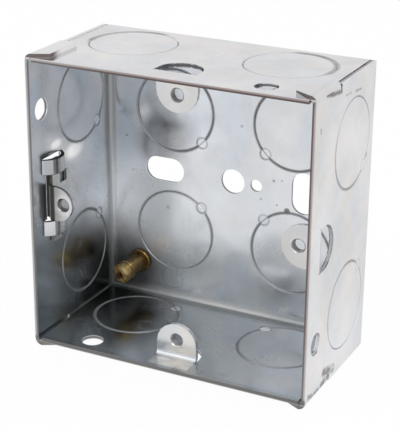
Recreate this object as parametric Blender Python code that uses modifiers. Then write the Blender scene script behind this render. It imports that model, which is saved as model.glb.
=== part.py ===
"""One-gang flush back box: a folded galvanised shell, its adjustable lug and a brass earth terminal.

Metres, +Z up. The open front faces -Y, and the origin is under the middle of the box.
Drawing frame of the box: X across, Y into the box from the rim, Z up from the middle.
"""
import math

import bmesh
import bpy
from mathutils import Matrix

# Folded sheet
SHEET = 0.0010
BOX_WIDTH = 0.0714
BOX_HEIGHT = 0.0714
BOX_DEPTH = 0.0370
BACK_BEND_RADIUS = 0.0020
SEAM_GAP = 0.0005

# Corner tabs, folded from the side walls over the top and bottom walls
TAB_LENGTH = 0.0135
TAB_REACH = 0.0056
TAB_BEND_RADIUS = 0.0018
TAB_SLANT = 0.0020
TAB_RELIEF = 0.0006

# Fixed ears, lanced out of three walls and bent into the mouth
EAR_FACE_DEPTH = 0.0062
EAR_WIDTH = 0.0104
EAR_TIP_MARGIN = 0.0041
EAR_BEND_RADIUS = 0.0011
EAR_SCREW_SPACING = 0.0603
EAR_SCREW_RADIUS = 0.00145
EAR_COUNTERSINK = 0.0003
COLLAR_RADIUS = 0.0024
COLLAR_HEIGHT = 0.0008
WINDOW_END = 0.0129
PUNCH_GAP = 0.0002

# Bridges that hold the adjustable lug to the left wall
BRIDGE_START = 0.0042
BRIDGE_END = 0.0130
BRIDGE_WIDTH = 0.0038
BRIDGE_SPACING = 0.0156
BRIDGE_BLUNTNESS = 2.4
BRIDGE_SLACK = 0.0004
BRIDGE_SLOT_START = 0.0056
BRIDGE_SLOT_END = 0.0072

# Adjustable lug
LUG_SHEET = 0.0008
LUG_CLEARANCE = 0.0002
LUG_FACE_DEPTH = 0.0056
LUG_EAR_WIDTH = 0.0086
LUG_TIP_MARGIN = 0.0025
LUG_BEND_RADIUS = 0.0005
LUG_ARM_SPAN = 0.0208
LUG_ARM_END = 0.0102
LUG_NECK_WIDTH = 0.0072
LUG_TAIL_START = 0.0132
LUG_TAIL_END = 0.0173
LUG_TAIL_WIDTH = 0.0124
LUG_REST_DROP = 0.0013

# Knock-outs, the same size on every wall
KNOCKOUT_RADIUS = 0.0105
BACK_KNOCKOUT_OFFSET = 0.0160
WALL_KNOCKOUT_OFFSET = 0.0199
WALL_KNOCKOUT_DEPTH = 0.0224
GROOVE = 0.00032
GROOVE_LIFT = 0.00007
TIE_RADIUS = 0.0014
TIE_DEPTH = 0.00015

# Holes for nails, screws and straps
WALL_HOLE_RADIUS = 0.0027
WALL_HOLE_OFFSET = 0.0222
WALL_HOLE_DEPTH = 0.0047
CENTRE_HOLE_RADIUS = 0.0032
PILOT_HOLE_RADIUS = 0.0016
PILOT_HOLE_OFFSET = 0.0063
FIXING_SLOT_LENGTH = 0.0108
FIXING_SLOT_WIDTH = 0.0064
FIXING_SLOT_OFFSET = 0.0189

# Brass earth terminal, placed from the left and bottom walls' outer faces, with its sizes along the
# axis counted from the back wall's inner face
TERMINAL_SIDE_INSET = 0.0098
TERMINAL_FLOOR_INSET = 0.0097
SEAT_GAP = 0.0003
PILLAR_FLANGE_RADIUS = 0.0031
PILLAR_FLANGE_HEIGHT = 0.0012
PILLAR_RADIUS = 0.0023
PILLAR_HEIGHT = 0.0077
PILLAR_BORE_DEPTH = 0.0066
PILLAR_EDGE = 0.0002
SPIGOT_RADIUS = 0.0020
SPIGOT_GAP = 0.0003
SPIGOT_INSET = 0.0001
SCREW_RADIUS = 0.0016
SCREW_THREAD_GAP = 0.00015
SCREW_LENGTH = 0.0068
SCREW_TIP = 0.0004
SCREW_HEAD_RADIUS = 0.0025
SCREW_HEAD_HEIGHT = 0.0018
SCREW_HEAD_DOME = 0.0004
SCREW_SLOT_WIDTH = 0.0007
SCREW_SLOT_DEPTH = 0.0008
SCREW_SLOT_ANGLE = math.radians(-55.0)
WASHER_RADIUS = 0.0027
WASHER_THICKNESS = 0.0008
WASHER_BORE_GAP = 0.0003
WASHER_EDGE = 0.0002

# One overrun for every cut, and how far a joined strip reaches into the wall that it grows from
OVERRUN = 0.0020
ROOT = 0.0004
# Points nearer than the weld are one point, and every point is put on a fine grid, so that faces
# drawn in one plane lie exactly in one plane
WELD = 0.000002
GRID = 0.0000001

# Facets of round forms
HOLE_SEGMENTS = 24
KNOCKOUT_SEGMENTS = 36
TIE_SEGMENTS = 12
TURNED_SEGMENTS = 24
DIAMOND_SIDES = 4
BEND_STEPS = 4
ROUND_STEPS = 10
BRIDGE_STEPS = 14
BACK_BEND_SEGMENTS = 4

# Worked out from the sizes above
RIGHT_ANGLE = math.radians(90.0)
HALF_TURN = math.radians(180.0)
FULL_TURN = math.radians(360.0)
HALF_WIDTH = BOX_WIDTH / 2
HALF_HEIGHT = BOX_HEIGHT / 2
BACK_FACE = BOX_DEPTH - SHEET
TERMINAL_X = TERMINAL_SIDE_INSET - HALF_WIDTH
TERMINAL_Z = TERMINAL_FLOOR_INSET - HALF_HEIGHT
BRIDGE_RISE = SHEET + LUG_CLEARANCE + LUG_SHEET + LUG_CLEARANCE + BRIDGE_SLACK
TOP_WALL, RIGHT_WALL, BOTTOM_WALL, LEFT_WALL = range(4)
ALL_WALLS = (TOP_WALL, RIGHT_WALL, BOTTOM_WALL, LEFT_WALL)
FIXED_EAR_WALLS = (TOP_WALL, RIGHT_WALL, BOTTOM_WALL)
SIGNS = (-1, 1)
SHARP_ANGLE = math.radians(30.0)
ALIGNED = 0.9999

# Turns that stand a flat drawing up: its own normal then points to -Y, or to +X
FACING_FRONT = Matrix.Rotation(RIGHT_ANGLE, 4, "X")
FACING_SIDE = Matrix.Rotation(RIGHT_ANGLE, 4, "Z") @ FACING_FRONT

ZINC_COLOUR = (0.60, 0.62, 0.64, 1.0)
LUG_COLOUR = (0.66, 0.68, 0.70, 1.0)
BRASS_COLOUR = (0.62, 0.44, 0.20, 1.0)


def move(x, y, z):
    """A shift as a matrix."""
    return Matrix.Translation((x, y, z))


def wall_half(wall):
    """Distance from the middle of the box to a wall's outer face."""
    return HALF_HEIGHT if wall in (TOP_WALL, BOTTOM_WALL) else HALF_WIDTH


def wall_frame(wall):
    """Frame of a wall: x along it, y into the box, z outwards from its outer face."""
    return Matrix.Rotation(wall * RIGHT_ANGLE, 4, "Y") @ move(0, 0, wall_half(wall))


def screw_level(wall):
    """Place of the accessory's screw, counted outwards from a wall's outer face."""
    return EAR_SCREW_SPACING / 2 - wall_half(wall)


def clear_scene():
    """Remove what the file holds at the start."""
    for old in list(bpy.data.objects):
        bpy.data.objects.remove(old, do_unlink=True)
    for collection in list(bpy.data.collections):
        bpy.data.collections.remove(collection)


def make_collection(name):
    """A collection linked to the scene."""
    collection = bpy.data.collections.new(name)
    bpy.context.scene.collection.children.link(collection)
    return collection


def make_material(name, colour, roughness, metallic):
    """A plain Principled material."""
    material = bpy.data.materials.new(name)
    material.use_nodes = True
    shader = material.node_tree.nodes["Principled BSDF"]
    shader.inputs["Base Color"].default_value = colour
    shader.inputs["Roughness"].default_value = roughness
    shader.inputs["Metallic"].default_value = metallic
    material.diffuse_color = colour
    return material


def mark_shading(work):
    """Shade round faces smooth and flat ones flat, with every real corner kept sharp."""
    for edge in work.edges:
        edge.smooth = edge.calc_face_angle(HALF_TURN) < SHARP_ANGLE
    for face in work.faces:
        aligned = max(abs(value) for value in face.normal) > ALIGNED
        face.smooth = not aligned and any(edge.smooth for edge in face.edges)


def tidy_mesh(mesh, matrix):
    """Weld a mesh, move it by a matrix, put it on the grid and point its faces outwards."""
    work = bmesh.new()
    work.from_mesh(mesh)
    bmesh.ops.remove_doubles(work, verts=work.verts, dist=WELD)
    work.transform(matrix)
    for vertex in work.verts:
        vertex.co = [round(value / GRID) * GRID for value in vertex.co]
    bmesh.ops.recalc_face_normals(work, faces=work.faces)
    if work.calc_volume(signed=True) < 0:
        bmesh.ops.reverse_faces(work, faces=work.faces)
    work.normal_update()
    mark_shading(work)
    work.to_mesh(mesh)
    work.free()
    return mesh


def add_object(name, mesh, collection, parent=None):
    """An object that shows a mesh."""
    obj = bpy.data.objects.new(name, mesh)
    collection.objects.link(obj)
    obj.parent = parent
    return obj


def evaluated_mesh(obj, matrix):
    """The evaluated form of an object as a tidy mesh of its own; the object is removed."""
    graph = bpy.context.evaluated_depsgraph_get()
    mesh = bpy.data.meshes.new_from_object(obj.evaluated_get(graph))
    bpy.data.objects.remove(obj, do_unlink=True)
    return tidy_mesh(mesh, matrix)


def block(low, high, matrix=Matrix()):
    """A box between two corners."""
    work = bmesh.new()
    bmesh.ops.create_cube(work, size=1)
    size = [b - a for a, b in zip(low, high)]
    middle = [(a + b) / 2 for a, b in zip(low, high)]
    bmesh.ops.scale(work, vec=size, verts=work.verts)
    bmesh.ops.translate(work, vec=middle, verts=work.verts)
    mesh = bpy.data.meshes.new("block")
    work.to_mesh(mesh)
    work.free()
    return tidy_mesh(mesh, matrix)


def cylinder(radius, length, matrix, segments=HOLE_SEGMENTS):
    """A cylinder about its own Z, centred on its origin."""
    work = bmesh.new()
    bmesh.ops.create_cone(work, cap_ends=True, segments=segments, radius1=radius, radius2=radius, depth=length)
    mesh = bpy.data.meshes.new("cylinder")
    work.to_mesh(mesh)
    work.free()
    return tidy_mesh(mesh, matrix)


def outline_solid(points, thickness, matrix):
    """A flat outline given a thickness, half to each side of its own plane."""
    half = thickness / 2
    curve = bpy.data.curves.new("outline", "CURVE")
    curve.dimensions = "2D"
    curve.fill_mode = "BOTH"
    curve.extrude = half
    spline = curve.splines.new("POLY")
    spline.points.add(len(points) - 1)
    for point, (x, y) in zip(spline.points, points):
        point.co = (x, y, 0, 1)
    spline.use_cyclic_u = True
    mesh = evaluated_mesh(add_object("outline", curve, bpy.context.scene.collection), Matrix())
    bpy.data.curves.remove(curve)
    # Each end is made one face, so that later cuts find no needless edges
    work = bmesh.new()
    work.from_mesh(mesh)
    for level in (-half, half):
        cap = [face for face in work.faces if all(abs(v.co.z - level) < WELD for v in face.verts)]
        bmesh.ops.dissolve_faces(work, faces=cap)
    work.to_mesh(mesh)
    work.free()
    return tidy_mesh(mesh, matrix)


def ring(major, minor, matrix):
    """A ring of diamond section, which cuts a V groove where it meets a face."""
    bpy.ops.mesh.primitive_torus_add(
        major_radius=major, minor_radius=minor, major_segments=KNOCKOUT_SEGMENTS, minor_segments=DIAMOND_SIDES
    )
    return evaluated_mesh(bpy.context.object, matrix)


def turned(profile, matrix=Matrix()):
    """A turned solid about its own Z, from the (radius, height) points down its outer side."""
    mesh = bpy.data.meshes.new("profile")
    edges = [(i, i + 1) for i in range(len(profile) - 1)]
    mesh.from_pydata([(radius, 0, height) for radius, height in profile], edges, [])
    obj = add_object("profile", mesh, bpy.context.scene.collection)
    screw = obj.modifiers.new("turn", "SCREW")
    screw.steps = TURNED_SEGMENTS
    screw.render_steps = TURNED_SEGMENTS
    screw.use_merge_vertices = True
    screw.merge_threshold = WELD
    bpy.context.view_layer.update()
    solid = evaluated_mesh(obj, matrix)
    bpy.data.meshes.remove(mesh)
    return solid


def arc(centre, radius, start, end, steps):
    """Points along an arc, both ends included."""
    angles = [start + (end - start) * i / steps for i in range(steps + 1)]
    return [(centre[0] + radius * math.cos(a), centre[1] + radius * math.sin(a)) for a in angles]


def slot_outline(length, width):
    """A slot with round ends, along x."""
    reach = (length - width) / 2
    right = arc((reach, 0), width / 2, -RIGHT_ANGLE, RIGHT_ANGLE, ROUND_STEPS)
    left = arc((-reach, 0), width / 2, RIGHT_ANGLE, HALF_TURN + RIGHT_ANGLE, ROUND_STEPS)
    return right + left


def joined(meshes, name):
    """Several meshes as one, side by side."""
    work = bmesh.new()
    for mesh in meshes:
        work.from_mesh(mesh)
        bpy.data.meshes.remove(mesh)
    result = bpy.data.meshes.new(name)
    work.to_mesh(result)
    work.free()
    return result


def boolean(obj, meshes, operation, cutters, name):
    """A Boolean modifier that uses the given meshes together."""
    tool = add_object(name, joined(meshes, name), cutters, obj.parent)
    tool.location = obj.location
    tool.hide_render = True
    tool.display_type = "WIRE"
    modifier = obj.modifiers.new(name, "BOOLEAN")
    modifier.operation = operation
    modifier.solver = "EXACT"
    modifier.object = tool
    return tool


def combined(base, other, operation):
    """Two meshes made into one by a Boolean."""
    collection = bpy.context.scene.collection
    first = add_object("first", base, collection)
    second = add_object("second", other, collection)
    modifier = first.modifiers.new("combine", "BOOLEAN")
    modifier.operation = operation
    modifier.solver = "EXACT"
    modifier.object = second
    bpy.context.view_layer.update()
    mesh = evaluated_mesh(first, Matrix())
    bpy.data.objects.remove(second, do_unlink=True)
    return mesh


def bevel_back_edges(mesh, back, radius):
    """Round the four edges round the back face."""
    work = bmesh.new()
    work.from_mesh(mesh)
    near = radius / 2
    edges = [e for e in work.edges if all(v.co.y > back - near for v in e.verts)]
    bmesh.ops.bevel(
        work, geom=edges, offset=radius, offset_type="OFFSET", segments=BACK_BEND_SEGMENTS, profile=0.5,
        affect="EDGES"
    )
    work.normal_update()
    mark_shading(work)
    work.to_mesh(mesh)
    work.free()
    return mesh


def pan():
    """The folded walls and back as one block, before it is hollowed."""
    outer = block((-HALF_WIDTH, 0, -HALF_HEIGHT), (HALF_WIDTH, BOX_DEPTH, HALF_HEIGHT))
    return bevel_back_edges(outer, BOX_DEPTH, BACK_BEND_RADIUS)


def pan_hollow():
    """The space inside the pan, open at the front."""
    x = HALF_WIDTH - SHEET
    z = HALF_HEIGHT - SHEET
    inner = block((-x, -OVERRUN, -z), (x, BACK_FACE, z))
    return bevel_back_edges(inner, BACK_FACE, BACK_BEND_RADIUS - SHEET)


def corner_frames():
    """Mirrors that take the top right corner to each of the four corners."""
    return [Matrix.Diagonal((sx, 1, sz, 1)) for sx in SIGNS for sz in SIGNS]


def tab_foot():
    """Height at which a tab starts from its side wall, below its bend and below the next wall."""
    return min(HALF_HEIGHT + SHEET - TAB_BEND_RADIUS, HALF_HEIGHT - SHEET) - ROOT


def corner_clearances():
    """Room at the front of each corner for the tab's bend, and the relief behind it."""
    low = (HALF_WIDTH - TAB_BEND_RADIUS, -OVERRUN, tab_foot())
    high = (HALF_WIDTH + OVERRUN, TAB_LENGTH + TAB_RELIEF, HALF_HEIGHT + OVERRUN)
    return [block(low, high, frame) for frame in corner_frames()]


def corner_seams():
    """The open seam between each side wall and the edge of the top or bottom wall."""
    x = HALF_WIDTH - SHEET
    low = (x - SEAM_GAP, TAB_LENGTH, HALF_HEIGHT - SHEET - BACK_BEND_RADIUS / 2)
    high = (x, BOX_DEPTH - BACK_BEND_RADIUS, HALF_HEIGHT + OVERRUN)
    return [block(low, high, frame) for frame in corner_frames()]


def corner_tab():
    """One tab: up from the side wall, round its bend and flat on the top wall."""
    top = HALF_HEIGHT + SHEET
    centre = (HALF_WIDTH - TAB_BEND_RADIUS, top - TAB_BEND_RADIUS)
    inner_radius = TAB_BEND_RADIUS - SHEET
    tip = HALF_WIDTH - TAB_REACH
    outer = arc(centre, TAB_BEND_RADIUS, 0, RIGHT_ANGLE, BEND_STEPS)
    inner = arc(centre, inner_radius, RIGHT_ANGLE, 0, BEND_STEPS)
    root = tab_foot() - ROOT
    section = [(HALF_WIDTH, root)] + outer + [(tip, top), (tip, HALF_HEIGHT)] + inner
    section += [(HALF_WIDTH - SHEET, root)]
    middle = TAB_LENGTH / 2
    strip = outline_solid(section, TAB_LENGTH, move(0, middle, 0) @ FACING_FRONT)
    plan = [
        (HALF_WIDTH + OVERRUN, -OVERRUN),
        (HALF_WIDTH + OVERRUN, TAB_LENGTH + OVERRUN),
        (tip - OVERRUN, TAB_LENGTH + OVERRUN),
        (tip - OVERRUN, TAB_SLANT),
        (tip, TAB_SLANT),
        (centre[0], 0),
        (centre[0], -OVERRUN),
    ]
    cut = outline_solid(plan, BOX_HEIGHT, move(0, 0, HALF_HEIGHT))
    return combined(strip, cut, "INTERSECT")


def corner_tabs():
    """The four tabs."""
    tab = corner_tab()
    tabs = [tidy_mesh(tab.copy(), frame) for frame in corner_frames()]
    bpy.data.meshes.remove(tab)
    return tabs


def ear_window(wall):
    """The D-shaped hole that a lanced ear leaves behind its bend."""
    half = EAR_WIDTH / 2 + PUNCH_GAP
    bend_start = EAR_FACE_DEPTH - EAR_BEND_RADIUS
    round_start = WINDOW_END - half
    outline = [(-half, bend_start), (half, bend_start)]
    outline += arc((0, round_start), half, 0, HALF_TURN, ROUND_STEPS)
    return outline_solid(outline, 2 * SHEET + OVERRUN, wall_frame(wall) @ move(0, 0, -SHEET / 2))


def bent_strip(face, bend_radius, sheet, root, tip, wide, level):
    """A strip that runs along a wall, bends at a face depth and points into the box."""
    centre = (face - bend_radius, level - sheet - bend_radius)
    outer = arc(centre, bend_radius + sheet, RIGHT_ANGLE, 0, BEND_STEPS)
    inner = arc(centre, bend_radius, 0, RIGHT_ANGLE, BEND_STEPS)
    section = [(root, level)] + outer + [(face + sheet, tip), (face, tip)] + inner + [(root, level - sheet)]
    return outline_solid(section, wide, FACING_SIDE)


def ear_trim(tip, wide):
    """The round-ended outline that trims an ear, seen from the front."""
    radius = wide / 2
    outline = arc((0, tip + radius), radius, HALF_TURN, FULL_TURN, ROUND_STEPS)
    outline += [(radius, OVERRUN), (-radius, OVERRUN)]
    return outline_solid(outline, BOX_DEPTH, FACING_FRONT)


def ear(wall):
    """A fixed ear with its extruded collar, before its screw hole is cut."""
    hole_level = screw_level(wall)
    tip = hole_level - EAR_TIP_MARGIN
    root = EAR_FACE_DEPTH - EAR_BEND_RADIUS - ROOT
    strip = bent_strip(EAR_FACE_DEPTH, EAR_BEND_RADIUS, SHEET, root, tip, EAR_WIDTH + OVERRUN, 0)
    blank = combined(strip, ear_trim(tip, EAR_WIDTH), "INTERSECT")
    collar_start = EAR_FACE_DEPTH + SHEET - ROOT
    collar_length = COLLAR_HEIGHT + ROOT
    place = move(0, collar_start + collar_length / 2, hole_level) @ FACING_FRONT
    collar = cylinder(COLLAR_RADIUS, collar_length, place)
    return tidy_mesh(combined(blank, collar, "UNION"), wall_frame(wall))


def screw_hole(wall, face):
    """The cutter of one screw hole, with a countersink at the ear's front face."""
    level = screw_level(wall)
    wide = EAR_SCREW_RADIUS + 2 * EAR_COUNTERSINK
    profile = [
        (0, OVERRUN), (wide, OVERRUN), (wide, EAR_COUNTERSINK), (EAR_SCREW_RADIUS, -EAR_COUNTERSINK),
        (EAR_SCREW_RADIUS, -SHEET - COLLAR_HEIGHT - OVERRUN), (0, -SHEET - COLLAR_HEIGHT - OVERRUN),
    ]
    return turned(profile, wall_frame(wall) @ move(0, face, level) @ FACING_FRONT)


def bridge_openings():
    """The holes under the two bridges, and the slot between them in front of the lug."""
    half = BRIDGE_WIDTH / 2 + PUNCH_GAP
    inner = BRIDGE_SPACING / 2 - half
    outer = BRIDGE_SPACING / 2 + half
    outline = [
        (-outer, BRIDGE_START), (-inner, BRIDGE_START), (-inner, BRIDGE_SLOT_START), (inner, BRIDGE_SLOT_START),
        (inner, BRIDGE_START), (outer, BRIDGE_START), (outer, BRIDGE_END), (inner, BRIDGE_END),
        (inner, BRIDGE_SLOT_END), (-inner, BRIDGE_SLOT_END), (-inner, BRIDGE_END), (-outer, BRIDGE_END),
    ]
    return outline_solid(outline, 2 * SHEET + OVERRUN, wall_frame(LEFT_WALL) @ move(0, 0, -SHEET / 2))


def bridge(side):
    """One bridge: a strip of the wall pushed inwards between two slits."""
    length = BRIDGE_END - BRIDGE_START
    crown = []
    for i in range(BRIDGE_STEPS + 1):
        share = i / BRIDGE_STEPS
        height = BRIDGE_RISE * (1 - abs(2 * share - 1) ** BRIDGE_BLUNTNESS)
        crown.append((BRIDGE_START + length * share, height))
    outer = [(BRIDGE_START - ROOT, 0)] + [(y, -h) for y, h in crown] + [(BRIDGE_END + ROOT, 0)]
    inner = [(BRIDGE_END + ROOT, -SHEET)] + [(y, -h - SHEET) for y, h in reversed(crown)]
    inner += [(BRIDGE_START - ROOT, -SHEET)]
    place = wall_frame(LEFT_WALL) @ move(side * BRIDGE_SPACING / 2, 0, 0) @ FACING_SIDE
    return outline_solid(outer + inner, BRIDGE_WIDTH, place)


def wall_holes():
    """The round hole beside the rim of each wall."""
    holes = []
    for wall in ALL_WALLS:
        place = wall_frame(wall) @ move(WALL_HOLE_OFFSET, WALL_HOLE_DEPTH, 0)
        holes.append(cylinder(WALL_HOLE_RADIUS, 2 * (SHEET + OVERRUN), place))
    return holes


def back_holes():
    """The fixing slots and round holes of the back wall."""
    through = 2 * (SHEET + OVERRUN)
    back = move(0, BACK_FACE, 0) @ FACING_FRONT
    slot = slot_outline(FIXING_SLOT_LENGTH, FIXING_SLOT_WIDTH)
    upright = [(y, x) for x, y in slot]
    return [
        cylinder(CENTRE_HOLE_RADIUS, through, back),
        cylinder(PILOT_HOLE_RADIUS, through, back @ move(PILOT_HOLE_OFFSET, 0, 0)),
        cylinder(SPIGOT_RADIUS + SPIGOT_GAP, through, back @ move(TERMINAL_X, TERMINAL_Z, 0)),
        outline_solid(slot, through, back @ move(-FIXING_SLOT_OFFSET, 0, 0)),
        outline_solid(upright, through, back @ move(FIXING_SLOT_OFFSET, 0, 0)),
    ]


def knockout_places():
    """Frames of all knock-outs: z outwards on the outer face, the tie towards the back wall's middle."""
    places = []
    for wall in ALL_WALLS:
        for side in SIGNS:
            tie = math.atan2(1, -side)
            places.append((wall_frame(wall) @ move(side * WALL_KNOCKOUT_OFFSET, WALL_KNOCKOUT_DEPTH, 0), tie))
    back = move(0, BOX_DEPTH, 0) @ Matrix.Rotation(-RIGHT_ANGLE, 4, "X")
    for sx in SIGNS:
        for sy in SIGNS:
            tie = math.atan2(-sy, -sx)
            places.append((back @ move(sx * BACK_KNOCKOUT_OFFSET, sy * BACK_KNOCKOUT_OFFSET, 0), tie))
    return places


def knockout_grooves():
    """The sheared line of each knock-out, on both faces of its wall."""
    rings = []
    for place, tie in knockout_places():
        for level in (GROOVE_LIFT, -SHEET - GROOVE_LIFT):
            rings.append(ring(KNOCKOUT_RADIUS, GROOVE, place @ move(0, 0, level)))
    return rings


def knockout_ties():
    """The round punch mark where each knock-out stays tied to its wall."""
    marks = []
    for place, tie in knockout_places():
        x = KNOCKOUT_RADIUS * math.cos(tie)
        y = KNOCKOUT_RADIUS * math.sin(tie)
        marks.append(cylinder(TIE_RADIUS, 2 * TIE_DEPTH, place @ move(x, y, -SHEET), TIE_SEGMENTS))
    return marks


def make_shell(parts, cutters, frame, zinc):
    """The folded box."""
    shell = add_object("folded_shell", pan(), parts, frame)
    boolean(shell, [pan_hollow()], "DIFFERENCE", cutters, "hollow")
    boolean(shell, corner_clearances(), "DIFFERENCE", cutters, "corner_clearance")
    boolean(shell, corner_seams(), "DIFFERENCE", cutters, "corner_seam")
    windows = [ear_window(wall) for wall in FIXED_EAR_WALLS] + [bridge_openings()]
    boolean(shell, windows, "DIFFERENCE", cutters, "window")
    boolean(shell, corner_tabs(), "UNION", cutters, "tab")
    raised = [ear(wall) for wall in FIXED_EAR_WALLS] + [bridge(side) for side in SIGNS]
    boolean(shell, raised, "UNION", cutters, "raised_form")
    bores = [screw_hole(wall, EAR_FACE_DEPTH) for wall in FIXED_EAR_WALLS]
    boolean(shell, bores + wall_holes() + back_holes(), "DIFFERENCE", cutters, "hole")
    boolean(shell, knockout_grooves(), "DIFFERENCE", cutters, "knockout_groove")
    boolean(shell, knockout_ties(), "DIFFERENCE", cutters, "knockout_tie")
    shell.data.materials.append(zinc)


def lug_plate():
    """The lug's flat part in plan: arms under the bridges and a round tail."""
    neck = LUG_NECK_WIDTH / 2
    arm = LUG_ARM_SPAN / 2
    tail = LUG_TAIL_WIDTH / 2
    start = LUG_FACE_DEPTH + LUG_SHEET + LUG_BEND_RADIUS
    reach = LUG_TAIL_END - LUG_TAIL_START
    half = [(arm, start), (arm, LUG_ARM_END), (neck, LUG_ARM_END), (neck, LUG_TAIL_START)]
    end = []
    for i in range(ROUND_STEPS + 1):
        angle = HALF_TURN * i / ROUND_STEPS
        end.append((tail * math.cos(angle), LUG_TAIL_START + reach * math.sin(angle)))
    other = [(-x, y) for x, y in reversed(half)]
    return outline_solid(half + end + other, LUG_SHEET, move(0, 0, -SHEET - LUG_CLEARANCE - LUG_SHEET / 2))


def lug_ear():
    """The lug's ear, bent up from the front edge of its plate."""
    level = -SHEET - LUG_CLEARANCE
    tip = screw_level(LEFT_WALL) - LUG_TIP_MARGIN
    centre = (LUG_FACE_DEPTH + LUG_SHEET + LUG_BEND_RADIUS, level - LUG_SHEET - LUG_BEND_RADIUS)
    outer = arc(centre, LUG_BEND_RADIUS + LUG_SHEET, RIGHT_ANGLE, HALF_TURN, BEND_STEPS)
    inner = arc(centre, LUG_BEND_RADIUS, HALF_TURN, RIGHT_ANGLE, BEND_STEPS)
    root = centre[0] + ROOT
    section = [(root, level)] + outer + [(LUG_FACE_DEPTH, tip), (LUG_FACE_DEPTH + LUG_SHEET, tip)]
    section += inner + [(root, level - LUG_SHEET)]
    strip = outline_solid(section, LUG_EAR_WIDTH + OVERRUN, FACING_SIDE)
    return combined(strip, ear_trim(tip, LUG_EAR_WIDTH), "INTERSECT")


def make_lug(parts, cutters, frame, zinc):
    """The adjustable lug, as it stands in its bridges."""
    rear = LUG_FACE_DEPTH + LUG_SHEET
    collar_length = COLLAR_HEIGHT + ROOT
    collar_place = move(0, rear - ROOT + collar_length / 2, screw_level(LEFT_WALL)) @ FACING_FRONT
    collar = cylinder(COLLAR_RADIUS, collar_length, collar_place)
    blank = combined(combined(lug_plate(), lug_ear(), "UNION"), collar, "UNION")
    blank = tidy_mesh(blank, wall_frame(LEFT_WALL))
    lug = add_object("adjustable_lug", blank, parts, frame)
    lug.location = (0, 0, -LUG_REST_DROP)
    boolean(lug, [screw_hole(LEFT_WALL, LUG_FACE_DEPTH)], "DIFFERENCE", cutters, "lug_hole")
    lug.data.materials.append(zinc)


def make_pillar(parts, axis, brass):
    """The terminal's pillar, riveted through the back wall and bored for its screw."""
    foot = SEAT_GAP
    top = PILLAR_HEIGHT
    flange_top = foot + PILLAR_FLANGE_HEIGHT
    bore = SCREW_RADIUS + SCREW_THREAD_GAP
    bore_floor = top - PILLAR_BORE_DEPTH
    profile = [
        (0, bore_floor), (bore, bore_floor), (bore, top),
        (PILLAR_RADIUS - PILLAR_EDGE, top), (PILLAR_RADIUS, top - PILLAR_EDGE),
        (PILLAR_RADIUS, flange_top), (PILLAR_FLANGE_RADIUS - PILLAR_EDGE, flange_top),
        (PILLAR_FLANGE_RADIUS, flange_top - PILLAR_EDGE), (PILLAR_FLANGE_RADIUS, foot),
        (SPIGOT_RADIUS, foot), (SPIGOT_RADIUS, SPIGOT_INSET - SHEET), (0, SPIGOT_INSET - SHEET),
    ]
    pillar = add_object("earth_pillar", turned(profile), parts, axis)
    pillar.data.materials.append(brass)


def washer_levels():
    """Lower and upper face of the washer, which stands clear of the pillar's end."""
    low = PILLAR_HEIGHT + SEAT_GAP
    return low, low + WASHER_THICKNESS


def make_washer(parts, axis, brass):
    """The clamping washer under the screw's head."""
    low, high = washer_levels()
    bore = SCREW_RADIUS + WASHER_BORE_GAP
    profile = [
        (bore, high), (WASHER_RADIUS - WASHER_EDGE, high), (WASHER_RADIUS, high - WASHER_EDGE),
        (WASHER_RADIUS, low), (bore, low), (bore, high),
    ]
    washer = add_object("earth_washer", turned(profile), parts, axis)
    washer.data.materials.append(brass)


def make_screw(parts, cutters, axis, brass):
    """The terminal's slotted screw, run in as far as the washer allows."""
    base = washer_levels()[1] + SEAT_GAP
    top = base + SCREW_HEAD_HEIGHT
    end = base - SCREW_LENGTH
    profile = [
        (0, top), (SCREW_HEAD_RADIUS / 2, top - SCREW_HEAD_DOME / 4), (SCREW_HEAD_RADIUS, top - SCREW_HEAD_DOME),
        (SCREW_HEAD_RADIUS, base), (SCREW_RADIUS, base), (SCREW_RADIUS, end + SCREW_TIP),
        (SCREW_RADIUS - SCREW_TIP, end), (0, end),
    ]
    screw = add_object("earth_screw", turned(profile), parts, axis)
    screw.data.materials.append(brass)
    low = (-SCREW_HEAD_RADIUS - OVERRUN, -SCREW_SLOT_WIDTH / 2, top - SCREW_SLOT_DEPTH)
    high = (SCREW_HEAD_RADIUS + OVERRUN, SCREW_SLOT_WIDTH / 2, top + OVERRUN)
    slot = block(low, high, Matrix.Rotation(SCREW_SLOT_ANGLE, 4, "Z"))
    boolean(screw, [slot], "DIFFERENCE", cutters, "screw_slot")


def build():
    """The whole back box."""
    clear_scene()
    parts = make_collection("back_box")
    cutters = make_collection("cutters")
    zinc = make_material("galvanised_steel", ZINC_COLOUR, 0.35, 0.9)
    lug_zinc = make_material("zinc_plate", LUG_COLOUR, 0.30, 0.9)
    brass = make_material("brass", BRASS_COLOUR, 0.30, 0.95)
    frame = add_object("box_frame", None, parts)
    frame.location = (0, -BOX_DEPTH / 2, SHEET + HALF_HEIGHT)
    axis = add_object("terminal_axis", None, parts, frame)
    axis.matrix_local = move(TERMINAL_X, BACK_FACE, TERMINAL_Z) @ FACING_FRONT
    make_shell(parts, cutters, frame, zinc)
    make_lug(parts, cutters, frame, lug_zinc)
    make_pillar(parts, axis, brass)
    make_washer(parts, axis, brass)
    make_screw(parts, cutters, axis, brass)


build()
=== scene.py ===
"""Looks of the one-gang flush back box: galvanised sheet, plated lug and brass terminal."""

import math

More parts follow.
